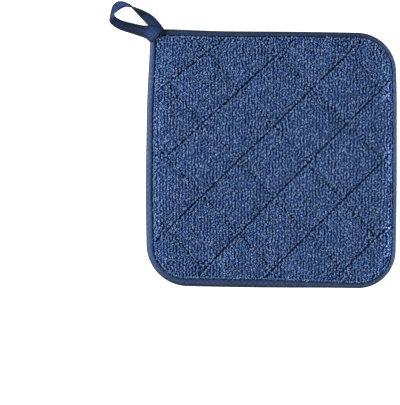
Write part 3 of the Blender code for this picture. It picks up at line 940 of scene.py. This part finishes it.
def binding(material):
    """The binding tape, from one of its ends in the upper left corner to the other."""
    path, outward, front_lips, back_lips, ripple = tape_course()
    sections, painted_lighting = [], []
    for point, out, front_lip, back_lip, fullness in zip(path, outward, front_lips, back_lips, ripple):
        section = binding_section(front_lip, back_lip, 1.0 + RIPPLE_SWELL * fullness)
        x, y = bowed(point[0] - section[:, 0] * out[0], point[1] - section[:, 0] * out[1])
        z = BINDING_MIDDLE + section[:, 1] * (1.0 + RIPPLE_STRETCH * fullness)
        sections.append(np.stack((x, y, z), -1))
        # Painted shade: darker at the outer edge and at the lip, a painted highlight between, darker on the
        # top and the bottom
        shade = np.interp(section[:, 0] / front_lip, *zip(*BINDING_PAINTED_SHADING))
        level = TOP_PAINTED_SHADE if out[1] > 0 else BOTTOM_PAINTED_SHADE
        painted_lighting.append(shade * (1 - (1 - level) * out[1] ** 2))
    sections = np.array(sections)
    # Its two ends draw apart a little.
    for ring, side in ((0, 1), (-1, -1)):
        out_x, out_y = outward[ring]
        sections[ring, :, :2] += side * END_GAP * np.array((-out_y, out_x))
    return sweep("binding_tape", sections, painted_lighting, material)


def binding_stitches(tape_tree, loop_tree):
    """A row of stitches beside each of the binding's lips."""
    pieces = []
    for up in (1.0, -1.0):
        middles, directions, ups = [], [], []
        row = lip_line(up > 0, TOPSTITCH_ROWS_MM)
        for (x, y), (run_x, run_y) in zip(*evenly_spaced(row, TOPSTITCH.pitch)):
            hit, normal = look_down(tape_tree, x, y, up)
            if hit is None or covered(hit, up, [loop_tree]):
                continue
            middles.append(hit - normal * TOPSTITCH.radius * STITCH_BED)
            directions.append((run_x, run_y, 0.0))
            ups.append(normal)
        pieces.append(stitches(TOPSTITCH, middles, directions, ups))
    return pieces


def smooth_rows(rows, steps):
    """Rows between the given ones, on a curve that passes through each of them."""
    rows = np.array(rows, float)
    padded = np.vstack((2 * rows[0] - rows[1], rows, 2 * rows[-1] - rows[-2]))
    result = []
    for before, start, end, after in zip(padded, padded[1:], padded[2:], padded[3:]):
        for t in np.arange(steps) / steps:
            bend = (2 * before - 5 * start + 4 * end - after) * t**2
            twist = (3 * start - before - 3 * end + after) * t**3
            result.append((2 * start + (end - before) * t + bend + twist) / 2)
    result.append(rows[-1])
    return np.array(result)


def loop_frames():
    """The loop's middle line, with the directions across the tape and out of its face, and its width."""
    rows = smooth_rows(LOOP_ROWS, LOOP_STEPS) * MM
    lift = rows[:, 5:] / 2
    first = np.hstack((rows[:, 0:2], rows[:, 4:5] - lift))
    second = np.hstack((rows[:, 2:4], rows[:, 4:5] + lift))
    centres = (first + second) / 2
    widths = np.linalg.norm(second - first, axis=1)
    across = (second - first) / widths[:, None]
    face = unit(np.cross(across, np.gradient(centres, axis=0)))
    return centres, across, face, widths


def arched(offset, width, face):
    """How far the tape curls out of its flat section: its edges droop where it lies flat."""
    return LOOP_ARCH * face[..., 2] * (ARCH_MIDDLE - (2 * offset / width) ** 2)


def hanging_loop(material):
    """The loop's tape, twisted through its rows."""
    sections, painted_lighting = [], []
    for index, (centre, beside, out, width) in enumerate(zip(*loop_frames())):
        section = loop_section(width)
        rise = section[:, 1] + arched(section[:, 0], width, out)
        sections.append(centre + section[:, :1] * beside + rise[:, None] * out)
        # Painted light and shade: paler or darker row by row, a painted highlight on the tip, darker towards
        # the edges
        shade = np.interp(index / LOOP_STEPS, *zip(*LOOP_ROW_PAINTED_LIGHT))
        painted_lighting.append(shade * np.interp(np.abs(section[:, 0]) * 2 / width, *zip(*LOOP_EDGE_PAINTED_SHADE)))
    return sweep("loop_tape", np.array(sections), painted_lighting, material)


def loop_stitches():
    """Edge stitching along both edges and both faces of the loop, and a row across its sewn end."""
    centres, across, face, widths = loop_frames()
    surface = LOOP_OUTSIDE + LOOP_CLOTH / 2
    pieces = []
    for side in (-1, 1):
        for out in (-1, 1):
            offset = side * (widths / 2 - LOOP_STITCH_INSET)
            rise = out * surface + arched(offset, widths, face)
            path = centres + offset[:, None] * across + rise[:, None] * face
            points, directions = evenly_spaced(path, TOPSTITCH.pitch)
            nearest = [np.argmin(np.linalg.norm(path - point, axis=1)) for point in points]
            pieces.append(stitches(TOPSTITCH, points, directions, out * face[nearest]))
    row = SEWN_END_ROW
    shares = np.array((-SEWN_END_HALF, SEWN_END_HALF))[:, None]
    ends = centres[row] + shares * widths[row] * across[row] + surface * face[row]
    points, directions = evenly_spaced(ends, TOPSTITCH.pitch)
    pieces.append(stitches(TOPSTITCH, points, directions, [face[row]] * len(points)))
    return pieces


# ---------------------------------------------------------------- stage


def add_floor(material):
    """A square floor, far wider than the picture."""
    corners = np.array(((-1, -1, 0), (1, -1, 0), (1, 1, 0), (-1, 1, 0))) * FLOOR_HALF
    floor = mesh_object("floor", corners - FLOOR_DROP * UP, [[0, 1, 2, 3]], material)


def add_lights():
    """The softboxes, which face the holder, and an even pale sky."""
    for box in SOFTBOXES:
        light = bpy.data.lights.new(box.name, "AREA")
        light.shape = "RECTANGLE"
        light.size, light.size_y = box.length, box.height
        light.energy = box.watts
        lamp = bpy.data.objects.new(box.name, light)
        lamp.location = (box.x, box.y, box.z)
        lamp.rotation_euler = (-Vector(lamp.location)).to_track_quat("-Z", "Y").to_euler()
        bpy.context.scene.collection.objects.link(lamp)
    world = bpy.data.worlds.new("studio")
    world.use_nodes = True
    background = world.node_tree.nodes["Background"]
    background.inputs["Color"].default_value = WHITE
    background.inputs["Strength"].default_value = SKY
    bpy.context.scene.world = world


def add_camera():
    """Straight above the picture's middle, with the picture's long side on the sensor. The scale is exact at
    the height of the binding's middle."""
    pixels = np.array((PHOTO_WIDTH / 2 - ORIGIN_PIXEL[0], ORIGIN_PIXEL[1] - PHOTO_HEIGHT / 2))
    x, y = pixels * MM_PER_PIXEL * MM
    cosine, sine = math.cos(HOLDER_TURN), math.sin(HOLDER_TURN)
    lens = bpy.data.cameras.new("camera")
    lens.sensor_width = SENSOR
    lens.lens = SENSOR * CAMERA_HEIGHT / (PHOTO_HEIGHT * MM_PER_PIXEL * MM)
    lens.clip_end = SIGHT
    camera = bpy.data.objects.new("camera", lens)
    camera.location = (x * cosine - y * sine, x * sine + y * cosine, CAMERA_HEIGHT + BINDING_MIDDLE)
    camera.rotation_euler = (0, 0, HOLDER_TURN)
    bpy.context.scene.collection.objects.link(camera)
    bpy.context.scene.camera = camera


# ---------------------------------------------------------------- the part


def place(piece, slot, replaced=None):
    """Says where a piece belongs: it rides the one body, in place of this node if any. The slot is not used.
    """
    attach(piece, "root")
    if replaced:
        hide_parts(replaced)


add_camera()
bpy.context.scene.view_settings.view_transform = "Standard"

yarn = terry_material()
thread = thread_material()

binding_cloth = woven_material("binding_cloth", specular=0.1, dark=BINDING_DARK, light=BINDING_LIGHT)
tape = binding(binding_cloth)
place(tape, "binding", "edge_binding")

# The loop's tape, in its colour darkened as painted shade
loop_cloth_shaded = woven_material("loop_cloth_shaded", specular=0.08, dark=LOOP_SHADED_DARK, light=LOOP_SHADED_LIGHT)
loop = hanging_loop(loop_cloth_shaded)
place(loop, "loop_tape", "hanging_loop")

trees = [tree_of(obj) for obj in (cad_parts["quilted_pad"], tape, loop)]
place(join("binding_stitches", binding_stitches(*trees[1:]), thread), "binding")
place(join("loop_stitches", loop_stitches(), thread), "loop_tape")

ground = ground_cloth(ground_material())
place(ground, "terry", "quilted_pad")

for pile in PILES:
    for piece in terry(pile, trees, yarn):
        place(piece, "terry")

for name, front in (("quilting_front", True), ("quilting_back", False)):
    place(join(name, [quilting(front, trees)], thread), "terry")

add_floor(floor_material())
add_lights()
